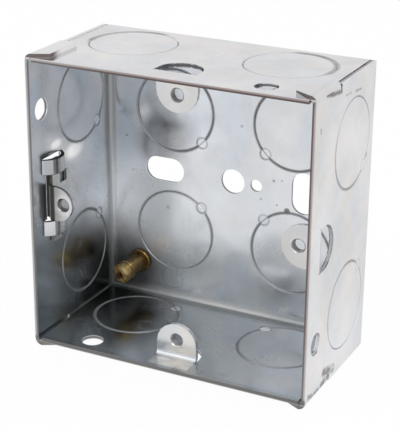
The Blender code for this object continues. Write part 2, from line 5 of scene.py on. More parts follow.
import bpy
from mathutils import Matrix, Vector

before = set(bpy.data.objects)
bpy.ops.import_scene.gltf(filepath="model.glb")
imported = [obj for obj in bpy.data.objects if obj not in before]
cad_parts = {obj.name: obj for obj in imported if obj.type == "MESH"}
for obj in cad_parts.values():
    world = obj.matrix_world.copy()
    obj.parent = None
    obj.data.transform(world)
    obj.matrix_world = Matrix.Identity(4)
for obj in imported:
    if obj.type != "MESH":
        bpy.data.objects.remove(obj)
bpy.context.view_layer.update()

# The box in its own drawing frame: x across, y into the box from the rim, z up from its middle
HALF = 0.0357
DEPTH = 0.0370
SHEET = 0.0010
MIDDLE = Vector((0.0, -DEPTH / 2, SHEET + HALF))
# Inner faces of the back and of the walls
BACK = DEPTH - SHEET
INNER = HALF - SHEET
# Two faces this near to each other count as one surface
HAIR = 0.00006
# How squarely a face has to look one way to count, from not at all to fully
SQUARELY = (0.5, 0.6)
VERY_SQUARELY = (0.6, 0.7)
# Where the lower half of the box turns into the upper one
UPPER_HALF = (-0.01, 0.01)

# Knock-out rings: radius, places on the back and on a wall, and how wide their line is drawn
RING_RADIUS = 0.0105
BACK_RING_OFFSET = 0.0160
WALL_RING_OFFSET = 0.0199
WALL_RING_DEPTH = 0.0224
RING_HALF = 0.00014
RING_SOFT = 0.00050
# How much wider the rings gape on the far side of the top wall
RING_GAPE = 0.00035
# The round ties that hold a knock-out, and how much of their outline shows
TIE_RADIUS = 0.0014
TIE_STEP = RING_RADIUS * math.sin(math.radians(45.0))
TIE_SHARE = 0.55
# Where the rings turn dim: up on the left wall, depth and across on the bottom wall
DIM_UP = (-0.004, 0.004)
DIM_DEPTH = (0.014, 0.026)
DIM_ACROSS = (-0.012, 0.0)
# The arcs of the outer rings, in radii from their middle: from, to, and how much shows at each
TOP_ARC_LEAN = 0.7
TOP_ARC = (0.30, 0.60, 0.10, 1.0)
SIDE_ARC_LEANS = (-0.5, -0.85)
SIDE_ARC = (-0.20, 0.40, 0.05, 0.6)

# Bridges of the left wall, and the slots behind the lug
BRIDGE_HALF_SPACING = 0.0078
BRIDGE_HALF_WIDTH = 0.0019
BRIDGE_END = 0.0130
BRIDGE_ROOM = (-0.8 * HALF, -0.75 * HALF)
SLOT_HALF_HEIGHT = 0.0100
SLOT_DEPTHS = (0.0040, 0.0130)

# How far back a corner tab's free edge stays dark, and where the tab ends
TAB_SHOWN = 0.0030
TAB_END = 0.0135
# The brown band along the right tabs: from and to across, and how high it starts
BAND_ACROSS = (0.0295, 0.0335)
BAND_LIFT = 0.55 * SHEET
# The drawn edge of the top right gap, a line of painted shade: from and to, counted from the right wall's
# outer face
GAP_REACH = (0.0007, 0.0002)
GAP_SHARE = 0.80

# The accessory's screw holes and the fixed ears
SCREW_HOLE_OFFSET = 0.03015
SCREW_HOLE_RADIUS = 0.00145
CHAMFER_RADIUS = 0.0018
EAR_FRONT = 0.0062
EAR_BACK = 0.0090
# How far from the box's middle an ear is still clear of its wall, and where the right ear starts
EAR_CLEAR = HALF - 2.2 * SHEET
RIGHT_EAR_START = (0.010, 0.020)
# The warm patch before the bottom ear: half its width, where it starts and ends in depth, its height
FOOT_WIDE = (0.0046, 0.0056)
FOOT_START = (0.0006, 0.0016)
FOOT_DEPTH = (0.0052, 0.0062)
FOOT_HEIGHT = (0.0042, 0.0048)

# The rim: where it turns brown, up plus across, and the depths in the sheet where it turns pale
RIM_WARMTH = (-0.01, 0.03)
RIM_ROLLED = (0.70 * SHEET, 0.45 * SHEET)
RIM_PALE = (0.34 * SHEET, 0.10 * SHEET)
# How much of the rim's pale edge shows at the bottom and elsewhere
RIM_PALE_SHARES = (0.35, 1.0)

# The lug: its ear's front face, its sheet, its play on the wall, its tail and its screw hole
LUG_FACE = 0.0056
LUG_SHEET = 0.0008
LUG_PLAY = 0.0002
LUG_TAIL_START = 0.0132
LUG_HOLE_UP = -0.0013
LUG_HOLE_EDGE = (0.0016, 0.0018)
# The ear's end in depth, and reaches from the left wall's outer face: ear, bend and shaded foot
LUG_EAR_END = (0.0090, 0.0095)
LUG_EAR_REACH = (0.0025, 0.0030)
LUG_BEND_REACH = (0.0030, 0.0034)
LUG_BEND_DEPTH = (0.0066, 0.0072)
LUG_SHADE_REACH = (0.0022, 0.0075)
# The painted highlight on the collar round the lug's hole: its inner and outer edge
COLLAR_INNER = (0.0015, 0.0019)
COLLAR_OUTER = (0.0021, 0.0032)

# The painted shade in the corner by the terminal: across, up and depth, and how far it reaches
TERMINAL_SHADE = (-0.0330, -0.0310, 0.0360)
TERMINAL_SHADE_REACH = (0.0035, 0.0205)
# How dark the painted shade is on the walls and on the back
TERMINAL_SHADE_STRENGTHS = (0.80, 0.97)
# How rings and ties fade where the painted shade grows: from, to, and how much shows at each
RING_IN_TERMINAL_SHADE = (0.0, 0.7, 1.0, 0.6)
TIE_IN_TERMINAL_SHADE = (0.0, 0.3, 0.6, 0.0)
# Small dark spots of the back wall: across, up, radius and how dark they are
BACK_SPOTS = (
    (0.0110, 0.0021, 0.00025, 0.45),
    (0.0131, 0.0025, 0.00020, 0.30),
    (0.0147, -0.0051, 0.00050, 0.80),
    (0.0022, 0.0147, 0.00025, 0.30),
    (0.0077, -0.0032, 0.00022, 0.35),
    (0.0120, -0.0040, 0.00022, 0.30),
    (-0.0180, -0.0100, 0.00030, 0.45),
    (-0.0298, 0.0074, 0.00025, 0.40),
    (-0.0281, -0.0015, 0.00022, 0.35),
)
# Marks of the right wall's outer face: depth, up, depth, up, half width and how dark they are
SIDE_MARKS = (
    (0.0058, 0.0354, 0.0095, 0.0346, 0.00050, 0.98),
    (0.0095, 0.0346, 0.0140, 0.0340, 0.00042, 0.95),
    (0.0165, 0.0325, 0.0200, 0.0322, 0.00022, 0.45),
    (0.0225, 0.0318, 0.0260, 0.0316, 0.00026, 0.60),
    (0.0027, 0.0288, 0.0028, 0.0278, 0.00030, 0.60),
    (0.0315, 0.0148, 0.0315, 0.0142, 0.00035, 0.60),
    (0.0105, -0.0320, 0.0165, -0.0336, 0.00090, 0.92),
    (0.0135, -0.0340, 0.0095, -0.0350, 0.00095, 0.92),
    (0.0012, -0.0340, 0.0040, -0.0350, 0.00060, 0.75),
    (0.0055, -0.0350, 0.0095, -0.0354, 0.00070, 0.85),
)
# The side marks below this height are broken up
BROKEN_BELOW = (-0.02, 0.0)
# A faint round trace on the back wall: across, up, radius, half width, softness and how dark it is
TRACE = (-0.01675, -0.0293, 0.0029, 0.0001, 0.0002, 0.3)
# Painted highlights of the left wall above its upper bridge, light bounced off the bridge: depth, up and
# radius
WALL_HIGHLIGHTS = ((0.0105, 0.0119, 0.0013), (0.0185, 0.0080, 0.0022))
# The bends round the back wall, painted grey as shade, and the stretch of the bottom one with a painted
# highlight
BEND_REACH = 0.0022
BEND_HIGHLIGHT_RISE = (-0.0195, -0.0035)
BEND_HIGHLIGHT_FALL = (0.0080, 0.0160, 1.0, 0.35)
BEND_HIGHLIGHT_TOP = (-0.031, -0.030)

# Painted shade of the bottom wall, left and right of its middle and at its front edge: from, to and levels
FLOOR_SHADE_LEFT = (-0.020, -0.004, 0.76, 1.0)
FLOOR_SHADE_RIGHT = (0.008, 0.026, 1.0, 0.58)
FLOOR_SHADE_FRONT = (0.0004, 0.0020, 1.5, 1.0)
# Painted shade of the left wall's upper part
WALL_SHADE_DEPTH = (0.002, 0.006)
WALL_SHADE_UP = (-0.008, 0.0, 0.0, 0.44)
# Painted shade of the inside's lower left: across, up and depth, and of the left wall's front edge
LOWER_LEFT_SHADE_ACROSS = (-0.020, -0.008)
LOWER_LEFT_SHADE_UP = (-0.014, -0.006)
LOWER_LEFT_SHADE_DEPTH = (0.012, 0.028)
LOWER_LEFT_SHADE_SHARE = 0.72
FRONT_EDGE_SHADE = (0.001, 0.012, 0.28, 0.0)
# The fair part of the back wall: across, and its lower and upper end
FAIR_ACROSS = (-0.016, -0.006, 1.0, 0.45)
FAIR_BOTTOM = (-0.029, -0.019)
FAIR_TOP = (-0.006, 0.010)
FAIR_SHARE = 0.9

# The terminal's axis, the painted shade in the hollow of the screw's head, and where the head's edge turns
# dark
TERMINAL = (-0.0259, -0.0260)
SCREW_HOLLOW = (-0.0265, -0.0267)
HOLLOW_REACH = (0.0006, 0.0012, 0.9, 0.0)
SCREW_RIM = (0.0017, 0.0022)

# How fine the surfaces' noises are, in waves to a metre
CLOUD_GRAIN = 45.0
SHEEN_GRAIN = 60.0
TERMINAL_SHADE_GRAIN = 90.0
WEAR_GRAIN = 110.0
PATCH_GRAIN = 140.0
PATCH_STRETCH = (1.0, 1.0, 0.45)
ROUGH_GRAIN = 160.0
SPANGLE_GRAIN = 260.0
FOOT_GRAIN = 300.0
PLATE_GRAIN = 300.0
BROKEN_GRAIN = 420.0
FINE_GRAIN = 700.0
SCRATCH_GRAIN = 900.0
# How far the noise moves the edge of a scratch and of the painted shade by the terminal
SCRATCH_WOBBLE = 0.0011
TERMINAL_SHADE_WOBBLE = 0.010
# The sheet's slight waves: height and strength
WAVE_HEIGHT = 0.0002
WAVE_STRENGTH = 0.35

# How far each layer of colour covers the ones below it
BEND_COVER = 0.85
HIGHLIGHT_COVER = 0.9
MARK_COVER = 0.95
CUT_COVER = 0.85
TAB_COVER = 0.9
HOLE_COVER = 0.85
RIM_COVER = 0.95
# Rings inside, plain and dim, and rings outside
RING_COVERS = (0.72, 0.97)
OUTER_RING_COVER = 0.92
LUG_COVER = 0.35
COLLAR_COVER = 0.35
LUG_EDGE_COVER = 0.6
LUG_DARK_COVER = 0.9
SCREW_EDGE_COVER = 0.8
# How far each kind of place is dull instead of metallic
HOLE_MATT = 0.8
RING_MATT = 0.85
FAIR_MATT = 0.38
BEND_MATT = 0.6
RIGHT_CUT_MATT = 0.7
# How much rougher sheared places and the back wall in the painted shade by the terminal are
DULL_ROUGHNESS = 0.3
TERMINAL_SHADE_ROUGHNESS = 0.28
# The least and the most roughness of the sheet, the lug and the brass
SHEET_ROUGHNESS = (0.16, 0.28)
LUG_ROUGHNESS = (0.24, 0.38)
BRASS_ROUGHNESS = (0.18, 0.36)

# The zinc's tone, how much spangle, grain and clouds give to it, and its faint colour patches
ZINC_DARK = (0.56, 0.58, 0.612, 1)
ZINC_LIGHT = (0.765, 0.785, 0.822, 1)
SPANGLE_SHARE = 0.12
GRAIN_SHARE = 0.20
CLOUD_SHARE = 0.68
COOL_PATCH = (0.965, 0.985, 1.01, 1)
WARM_PATCH = (1.03, 1.01, 0.985, 1)
# Tints that the tone is multiplied by
OUTSIDE_TINT = (0.95, 0.915, 0.885, 1)
SIDE_TINT = (1.04, 1.005, 0.965, 1)
EAR_TINT = (1.02, 0.99, 0.935, 1)
RIGHT_EAR_TINT = (0.94, 0.905, 0.86, 1)
TERMINAL_SHADE_TINT = (0.10, 0.10, 0.09, 1)
FLOOR_AND_WALL_SHADE_TINT = (0.475, 0.50, 0.495, 1)
LOWER_LEFT_SHADE_TINT = (0.28, 0.305, 0.295, 1)
UPPER_BRIDGE_TINT = (0.62, 0.63, 0.64, 1)
LUG_FOOT_SHADE_TINT = (0.90, 0.87, 0.83, 1)
# Colours that replace the tone
BEND_SHADE = (0.50, 0.51, 0.52, 1)
BEND_HIGHLIGHT = (0.66, 0.66, 0.65, 1)
FAIR_COLOUR = (0.86, 0.88, 0.91, 1)
# A pale colour for painted highlights: on the left wall, the tie marks, the tabs' free edges and the lug's
# collar
HIGHLIGHT_COLOUR = (0.93, 0.92, 0.90, 1)
FOOT_COLOUR = (0.80, 0.76, 0.71, 1)
LUG_COLOUR = (0.42, 0.41, 0.39, 1)
# Lines, marks, holes and sheared faces, with painted shade in the holes, the top right gap, the bottom
# corner slit and the shaded cuts, and painted light in the top corner slit
LINE_COLOUR = (0.22, 0.225, 0.23, 1)
DIM_LINE_COLOUR = (0.05, 0.053, 0.053, 1)
MARK_AND_GAP_SHADE_COLOUR = (0.075, 0.062, 0.055, 1)
HOLE_COLOUR = (0.24, 0.235, 0.23, 1)
LUG_HOLE_COLOUR = (0.24, 0.235, 0.225, 1)
SLIT_DARK = (0.04, 0.04, 0.04, 1)
SLIT_PALE = (0.90, 0.89, 0.87, 1)
CUT_COLOUR = (0.13, 0.12, 0.115, 1)
RIGHT_CUT_COLOUR = (0.50, 0.50, 0.51, 1)
# Near black for sheared faces painted as shade: the bridges, the slots, and the lug's edges and bend
SHADED_CUT_COLOUR = (0.045, 0.045, 0.045, 1)
TAB_COLOUR = (0.13, 0.095, 0.085, 1)
LOW_TAB_COLOUR = (0.20, 0.19, 0.18, 1)
RIM_BROWN = (0.11, 0.085, 0.08, 1)
RIM_GREY = (0.18, 0.175, 0.17, 1)
RIM_ROLLED_BROWN = (0.38, 0.31, 0.30, 1)
RIM_ROLLED_GREY = (0.46, 0.45, 0.45, 1)
# Brass, in a light copy for the lit screw head and a dark copy painted as shade for the pillar and washer
SCREW_DARK = (0.26, 0.16, 0.06, 1)
SCREW_LIGHT = (0.62, 0.49, 0.26, 1)
SCREW_EDGE = (0.24, 0.17, 0.06, 1)
HOLLOW_COLOUR = (0.16, 0.055, 0.02, 1)
PILLAR_DARK = (0.07, 0.038, 0.014, 1)
PILLAR_LIGHT = (0.28, 0.195, 0.075, 1)

# The rays that meet the white background: to the camera, in metal and through glass
SHOWN_RAYS = ("Is Camera Ray", "Is Glossy Ray", "Is Transmission Ray")
# How strongly the world shines to those rays and to the others
WHITE_LEVEL = 1.0
SOFT_LEVEL = 0.85
FLOOR_SIZE = 6.0
FLOOR_COLOUR = (0.9, 0.9, 0.9, 1)
FLOOR_ROUGHNESS = 0.9
# How far the floor turns white to those rays, so that a soft shadow is left
FLOOR_WHITE_SHARE = 0.95

# Soft square lamps: name, place and power
LAMPS = (("key_light", (0.5, -0.7, 0.9), 4.0), ("fill_light", (-0.7, -0.6, 0.5), 1.0))
LAMP_TARGET = (0.0, 0.0, 0.03)
LAMP_SIZE = 0.6

# The photograph's camera, with its turns in degrees
CAMERA_PLACE = (0.136997, -0.274879, 0.156887)
CAMERA_TURNS = (68.2025, -0.4470, 26.7028)
CAMERA_LENS = 117.08
CAMERA_SENSOR = 36.0
CAMERA_START = 0.01


class Nodes:
    """Short helpers to lay out a tree of nodes."""

    def __init__(self, tree):
        self.tree = tree

    def add(self, kind, **values):
        """A new node with some of its settings."""
        node = self.tree.nodes.new(kind)
        for key, value in values.items():
            setattr(node, key, value)
        return node

    def put(self, socket, value):
        """Link a socket to another one, or set it to a number or a colour."""
        if isinstance(value, bpy.types.NodeSocket):
            self.tree.links.new(value, socket)
        else:
            socket.default_value = value

    def math(self, operation, a, b=0.0, clamp=False):
        """One operation on sockets or numbers."""
        node = self.add("ShaderNodeMath", operation=operation, use_clamp=clamp)
        self.put(node.inputs[0], a)
        self.put(node.inputs[1], b)
        return node.outputs[0]

    def minus(self, a, b):
        """One value less another."""
        return self.math("SUBTRACT", a, b)

    def away(self, value, place):
        """How far a value is from a place, to either side."""
        return self.math("ABSOLUTE", self.minus(value, place))

    def fold(self, operation, values):
        """Several values joined by one operation, from the first to the last."""
        result = values[0]
        for value in values[1:]:
            result = self.math(operation, result, value)
        return result

    def total(self, *values):
        """Several values added together."""
        return self.fold("ADD", values)

    def product(self, *values):
        """Several values multiplied together."""
        return self.fold("MULTIPLY", values)

    def highest(self, *values):
        """The highest of several values."""
        return self.fold("MAXIMUM", values)

    def span(self, value, low, high, to_low=0.0, to_high=1.0, smooth=True):
        """A ramp from one level to another between two values."""
        node = self.add("ShaderNodeMapRange")
        node.interpolation_type = "SMOOTHSTEP" if smooth else "LINEAR"
        for socket, setting in zip(node.inputs, (value, low, high, to_low, to_high)):
            self.put(socket, setting)
        return node.outputs[0]

    def fall(self, value, low, high):
        """1 up to low, fading to 0 at high."""
        return self.span(value, low, high, 1.0, 0.0)

    def line_at(self, value, place, half, soft):
        """1 where a value is within half of a place, fading to 0 over soft."""
        return self.fall(self.away(value, place), half, half + soft)

    def distance(self, a, b, centre_a, centre_b):
        """Distance in one plane from a point to a centre."""
        square_a = self.math("POWER", self.away(a, centre_a), 2.0)
        square_b = self.math("POWER", self.away(b, centre_b), 2.0)
        return self.math("SQRT", self.total(square_a, square_b))

    def from_stroke(self, a, b, start_a, start_b, end_a, end_b):
        """Distance in one plane from a point to a straight stroke."""
        run_a = end_a - start_a
        run_b = end_b - start_b
        square = run_a * run_a + run_b * run_b
        part_a = self.product(self.minus(a, start_a), run_a / square)
        part_b = self.product(self.minus(b, start_b), run_b / square)
        along = self.math("ADD", part_a, part_b, clamp=True)
        near_a = self.total(self.product(along, run_a), start_a)
        near_b = self.total(self.product(along, run_b), start_b)
        return self.distance(a, b, near_a, near_b)

    def mix(self, share, a, b, blend="MIX"):
        """One colour laid over another, as far as a share says."""
        node = self.add("ShaderNodeMix", data_type="RGBA", blend_type=blend)
        self.put(node.inputs[0], share)
        self.put(node.inputs[6], a)
        self.put(node.inputs[7], b)
        return node.outputs[2]

    def tint(self, share, colour, factor):
        """A colour multiplied by another one, as far as a share says."""
        return self.mix(share, colour, self.mix(1.0, colour, factor, "MULTIPLY"))

    def noise(self, coords, scale, detail=3.0, roughness=0.5):
        """Even noise between 0 and 1."""
        node = self.add("ShaderNodeTexNoise")
        self.put(node.inputs["Vector"], coords)
        node.inputs["Scale"].default_value = scale
        node.inputs["Detail"].default_value = detail
        node.inputs["Roughness"].default_value = roughness
        return node.outputs["Fac"]

    def clouds(self, coords, scale, detail, edges, levels=(0.0, 1.0), roughness=0.5):
        """Soft patches: noise that rises from one level to another between two edges."""
        return self.span(self.noise(coords, scale, detail, roughness), *edges, *levels)

    def wobble(self, coords, scale, detail, roughness, size):
        """Noise to either side of 0, to make an edge ragged."""
        return self.product(self.minus(self.noise(coords, scale, detail, roughness), 0.5), size)

    def cells(self, coords, scale):
        """The colours of irregular cells."""
        node = self.add("ShaderNodeTexVoronoi")
        self.put(node.inputs["Vector"], coords)
        node.inputs["Scale"].default_value = scale
        return node.outputs["Color"]

    def stretch(self, coords, scale):
        """Coordinates stretched along each axis."""
        node = self.add("ShaderNodeMapping")
        self.put(node.inputs["Vector"], coords)
        node.inputs["Scale"].default_value = scale
        return node.outputs[0]

    def bump(self, height, reach, strength):
        """A normal that follows a height."""
        node = self.add("ShaderNodeBump")
        node.inputs["Strength"].default_value = strength
        node.inputs["Distance"].default_value = reach
        self.put(node.inputs["Height"], height)
        return node.outputs[0]


class Material(Nodes):
    """The nodes of a new material."""

    def __init__(self, name):
        self.material = bpy.data.materials.new(name)
        self.material.use_nodes = True
        super().__init__(self.material.node_tree)
        self.shader = self.tree.nodes["Principled BSDF"]

    def shade(self, colour, metallic, roughness):
        """Set the surface's colour, share of metal and roughness."""
        self.put(self.shader.inputs["Base Color"], colour)
        self.put(self.shader.inputs["Metallic"], metallic)
        self.put(self.shader.inputs["Roughness"], roughness)


def box_place(n):
    """Where a point lies on the box: its coordinates, then across, depth from the rim, and up."""
    coords = n.add("ShaderNodeTexCoord").outputs["Object"]
    shift = n.add("ShaderNodeVectorMath", operation="SUBTRACT")
    n.put(shift.inputs[0], coords)
    shift.inputs[1].default_value = MIDDLE
    parts = n.add("ShaderNodeSeparateXYZ")
    n.put(parts.inputs[0], shift.outputs[0])
    return coords, parts.outputs[0], parts.outputs[1], parts.outputs[2]


def inset(reach):
    """A reach from the left or bottom wall's outer face, as two coordinates."""
    return [step - HALF for step in reach]


class Place:
    """Sockets that tell where a point of the shell lies, and which wall it is on."""

    def __init__(self, n):
        self.coords, self.across, self.depth, self.up = box_place(n)
        self.wide = n.math("ABSOLUTE", self.across)
        self.high = n.math("ABSOLUTE", self.up)
        faces = n.add("ShaderNodeSeparateXYZ")
        n.put(faces.inputs[0], n.add("ShaderNodeNewGeometry").outputs["True Normal"])
        self.facing = faces.outputs
        # The walls, each with its whole thickness
        self.on_side = n.span(self.wide, INNER - 3 * HAIR, INNER - HAIR)
        self.on_flat = n.span(self.high, INNER - 3 * HAIR, INNER - HAIR)
        self.on_back = n.span(self.depth, BACK - 3 * HAIR, BACK - HAIR)
        self.on_left = n.fall(self.across, HAIR - INNER, 3 * HAIR - INNER)
        self.on_floor = n.fall(self.up, HAIR - INNER, 3 * HAIR - INNER)
        self.on_right = n.span(self.across, INNER, INNER + HAIR)
        # The upper half, all behind the rim, and all before the back of the ears
        self.upper = n.span(self.up, *UPPER_HALF)
        self.behind_rim = n.span(self.depth, 2 * HAIR, 3 * HAIR)
        self.before_ear_back = n.fall(self.depth, EAR_BACK, EAR_BACK + HAIR)
        # The inner faces and what stands inside, and the outer faces of the walls
        self.inside = n.product(
            n.fall(self.wide, INNER + HAIR, INNER + 2 * HAIR),
            n.fall(self.high, INNER + HAIR, INNER + 2 * HAIR),
            n.fall(self.depth, BACK + HAIR, BACK + 2 * HAIR),
        )
        self.outside = n.highest(
            n.span(self.wide, HALF - 2 * HAIR, HALF - HAIR),
            n.span(self.high, HALF - 2 * HAIR, HALF - HAIR),
        )


def zinc_tone(n, coords):
    """The plain zinc: blue-grey with soft clouds, warmer and cooler patches, hardly any spangle."""
    spangle = n.add("ShaderNodeSeparateColor")
    n.put(spangle.inputs[0], n.cells(coords, SPANGLE_GRAIN))
    grain = n.noise(coords, FINE_GRAIN)
    cloud = n.clouds(coords, CLOUD_GRAIN, 4.0, (0.25, 0.75), roughness=0.55)
    tone = n.total(
        n.product(spangle.outputs[0], SPANGLE_SHARE),
        n.product(grain, GRAIN_SHARE),
        n.product(cloud, CLOUD_SHARE),
    )
    # The patches are drawn out upwards
    patch = n.clouds(n.stretch(coords, PATCH_STRETCH), PATCH_GRAIN, 3.0, (0.35, 0.65))
    plain = n.mix(tone, ZINC_DARK, ZINC_LIGHT)
    return n.mix(1.0, plain, n.mix(patch, COOL_PATCH, WARM_PATCH), "MULTIPLY")


def ring_arcs(n, p):
    """How much of a ring shows on the outer faces: a far arc on top, a near arc on a side."""
    along = n.math("DIVIDE", n.minus(p.depth, WALL_RING_DEPTH), RING_RADIUS)
    on_top = n.math("DIVIDE", n.minus(p.wide, WALL_RING_OFFSET), RING_RADIUS)
    beside = n.math("DIVIDE", n.minus(p.high, WALL_RING_OFFSET), RING_RADIUS)
    far = n.span(n.product(n.total(along, on_top), TOP_ARC_LEAN), *TOP_ARC)
    lean = n.total(n.product(along, SIDE_ARC_LEANS[0]), n.product(beside, SIDE_ARC_LEANS[1]))
    near = n.span(lean, *SIDE_ARC)
    return n.total(n.product(far, p.on_flat), n.product(near, p.on_side))


def knockout_lines(n, p, arcs):
    """The sheared rings of all knock-outs, and the round marks of the ties that hold them."""
    gape = n.product(arcs, p.outside, p.on_flat, RING_GAPE)
    rings = []
    discs = []
    for wall, a, b, centre_a, centre_b, step in (
        (p.on_side, p.depth, p.high, WALL_RING_DEPTH, WALL_RING_OFFSET, TIE_STEP),
        (p.on_flat, p.depth, p.wide, WALL_RING_DEPTH, WALL_RING_OFFSET, TIE_STEP),
        (p.on_back, p.wide, p.high, BACK_RING_OFFSET, BACK_RING_OFFSET, -TIE_STEP),
    ):
        off_ring = n.away(n.distance(a, b, centre_a, centre_b), RING_RADIUS)
        ring = n.fall(n.minus(off_ring, gape), RING_HALF, RING_HALF + RING_SOFT)
        from_tie = n.distance(a, b, centre_a + step, centre_b - TIE_STEP)
        clear = n.span(from_tie, TIE_RADIUS - HAIR, TIE_RADIUS)
        tie = n.line_at(from_tie, TIE_RADIUS, 2 * HAIR, 4 * HAIR)
        disc = n.fall(from_tie, TIE_RADIUS - 6 * HAIR, TIE_RADIUS - 2 * HAIR)
        rings.append(n.product(n.highest(n.product(ring, clear), n.product(tie, TIE_SHARE)), wall))
        discs.append(n.product(disc, wall))
    return n.highest(*rings), n.highest(*discs)


def dim_rings(n, p):
    """1 where the rings are dim: low on the left wall and at the back of the bottom's left."""
    low = n.product(p.on_left, n.fall(p.up, *DIM_UP))
    behind = n.product(p.on_floor, n.span(p.depth, *DIM_DEPTH), n.fall(p.across, *DIM_ACROSS))
    return n.product(n.highest(low, behind), p.inside)


def corner_slits(n, p):
    """1 on the strip of the left wall that shows through its narrow gap to the top or bottom wall, painted
    pale as light in the top gap and near black as shade in the bottom one.
    """
    strip = n.product(n.line_at(p.across, -INNER, HAIR, HAIR), n.span(p.facing[0], *SQUARELY))
    beyond = n.span(p.high, INNER, INNER + HAIR)
    return n.product(strip, beyond, n.span(p.depth, TAB_END, TAB_END + HAIR))


def wall_cuts(n, p):
    """1 on the sheared faces of the walls and the back, between their outer and inner surface."""
    core = SHEET / 2 - 4 * HAIR
    clear_of_bend = n.fall(p.depth, DEPTH - 3 * SHEET, DEPTH - 2 * SHEET)
    low_wide = n.fall(p.wide, INNER - SHEET, INNER)
    low_high = n.fall(p.high, INNER - SHEET, INNER)
    side = n.product(n.line_at(p.wide, HALF - SHEET / 2, core, HAIR), low_high, clear_of_bend)
    flat = n.product(n.line_at(p.high, HALF - SHEET / 2, core, HAIR), low_wide, clear_of_bend)
    back = n.product(n.line_at(p.depth, DEPTH - SHEET / 2, core, HAIR), low_wide, low_high)
    return n.highest(side, flat, back)


def tab_cuts(n, p):
    """The sheared faces of the corner tabs: 1 on the dark ones, and 1 on the pale ones, whose pale colour
    is painted light over the slit's shade.
    """
    on_tab = n.line_at(p.high, HALF + SHEET / 2, SHEET / 2 - HAIR, HAIR)
    # A tab's ends face the front and the back, and its free edge faces the middle
    ends = n.span(n.math("ABSOLUTE", p.facing[1]), *VERY_SQUARELY)
    inward = n.product(n.math("SIGN", p.across), n.product(p.facing[0], -1.0))
    free_edge = n.span(inward, *SQUARELY)
    front = n.span(p.depth, TAB_SHOWN, TAB_SHOWN + 4 * SHEET, 1.0, 0.1)
    # On the right the brown is a band along the tab's top, which widens towards the corner
    lift = n.span(p.across, *BAND_ACROSS, BAND_LIFT, 0.0)
    band = n.span(n.minus(p.high, lift), HALF, HALF + 2 * HAIR)
    band = n.highest(band, n.fall(p.across, 0.0, 0.01))
    dark = n.product(on_tab, n.highest(ends, n.product(free_edge, front)), band)
    pale = n.product(on_tab, free_edge, n.span(p.depth, TAB_SHOWN, TAB_SHOWN + 2 * SHEET))
    return dark, pale


def on_bridges(n, p, step):
    """1 on what stands inside the left wall by more than a small step."""
    raised = n.span(p.across, step - INNER, 2 * step - INNER)
    return n.product(raised, n.fall(p.across, *BRIDGE_ROOM), n.fall(p.depth, BRIDGE_END, BRIDGE_END + HAIR))


def bridge_faces(n, p):
    """1 on the sheared sides of the two bridges, painted near black as the shade of the gaps under them."""
    side = n.line_at(n.away(p.high, BRIDGE_HALF_SPACING), BRIDGE_HALF_WIDTH, HAIR, HAIR)
    return n.product(side, on_bridges(n, p, HAIR))


def upper_bridge(n, p):
    """1 on the crown of the upper bridge, which is painted darker than the lower one."""
    from_crown = n.away(p.up, BRIDGE_HALF_SPACING)
    near = n.fall(from_crown, 1.1 * BRIDGE_HALF_WIDTH, 1.2 * BRIDGE_HALF_WIDTH)
    return n.product(near, on_bridges(n, p, 2 * HAIR))


def slot_faces(n, p):
    """1 on the sheared faces of the slots behind the lug, painted near black as the shade in the slots."""
    sideways = n.fall(n.math("ABSOLUTE", p.facing[0]), *SQUARELY)
    wall = n.product(n.line_at(p.across, SHEET / 2 - HALF, SHEET / 2 + HAIR, HAIR), sideways)
    front = n.span(p.depth, SLOT_DEPTHS[0], SLOT_DEPTHS[0] + HAIR)
    end = n.fall(p.depth, SLOT_DEPTHS[1], SLOT_DEPTHS[1] + HAIR)
    return n.product(wall, front, end, n.fall(p.high, SLOT_HALF_HEIGHT, SLOT_HALF_HEIGHT + HAIR))


def back_marks(n, p):
    """Small dark spots of the back wall and a faint round trace."""
    *middle, radius, half, soft, dark = TRACE
    trace = n.line_at(n.distance(p.across, p.up, *middle), radius, half, soft)
    marks = [n.product(trace, dark)]
    for *middle, radius, dark in BACK_SPOTS:
        marks.append(n.span(n.distance(p.across, p.up, *middle), radius, 2 * radius, dark, 0.0))
    return n.product(n.highest(*marks), p.on_back, p.inside)


def side_marks(n, p):
    """Dark scratches of the right wall's outer face, ragged, and broken up in its lower part."""
    on_face = n.span(p.across, HALF - 2 * HAIR, HALF - HAIR)
    ragged = n.wobble(p.coords, SCRATCH_GRAIN, 4.0, 0.7, SCRATCH_WOBBLE)
    broken = n.clouds(p.coords, BROKEN_GRAIN, 3.0, (0.36, 0.50), (0.25, 1.0), roughness=0.6)
    broken = n.highest(broken, n.span(p.up, *BROKEN_BELOW))
    marks = []
    for *stroke, half, dark in SIDE_MARKS:
        away = n.total(n.from_stroke(p.depth, p.up, *stroke), ragged)
        marks.append(n.span(away, 0.3 * half, 1.8 * half, dark, 0.0))
    return n.product(n.highest(*marks), on_face, broken)


def top_gap(n, p):
    """The narrow gap between the top and the right wall, drawn a little wider as a line of painted shade.
    """
    strip = n.fall(p.across, HALF - GAP_REACH[0], HALF - GAP_REACH[1])
    on_top = n.span(p.up, HALF - 2 * HAIR, HALF - HAIR)
    behind_tab = n.span(p.depth, TAB_END, TAB_END + HAIR)
    return n.product(p.on_right, strip, on_top, behind_tab, GAP_SHARE)


def wall_highlights(n, p):
    """Painted highlights on the left wall's inner face."""
    inner_face = n.span(p.across, HAIR - HALF, 2 * HAIR - HALF)
    spots = []
    for depth, up, radius in WALL_HIGHLIGHTS:
        # The patches are twice as long in depth as they are high
        away = n.distance(n.product(p.depth, 0.5), p.up, 0.5 * depth, up)
        spots.append(n.fall(away, 0.4 * radius, 1.3 * radius))
    return n.product(n.highest(*spots), p.on_left, inner_face)


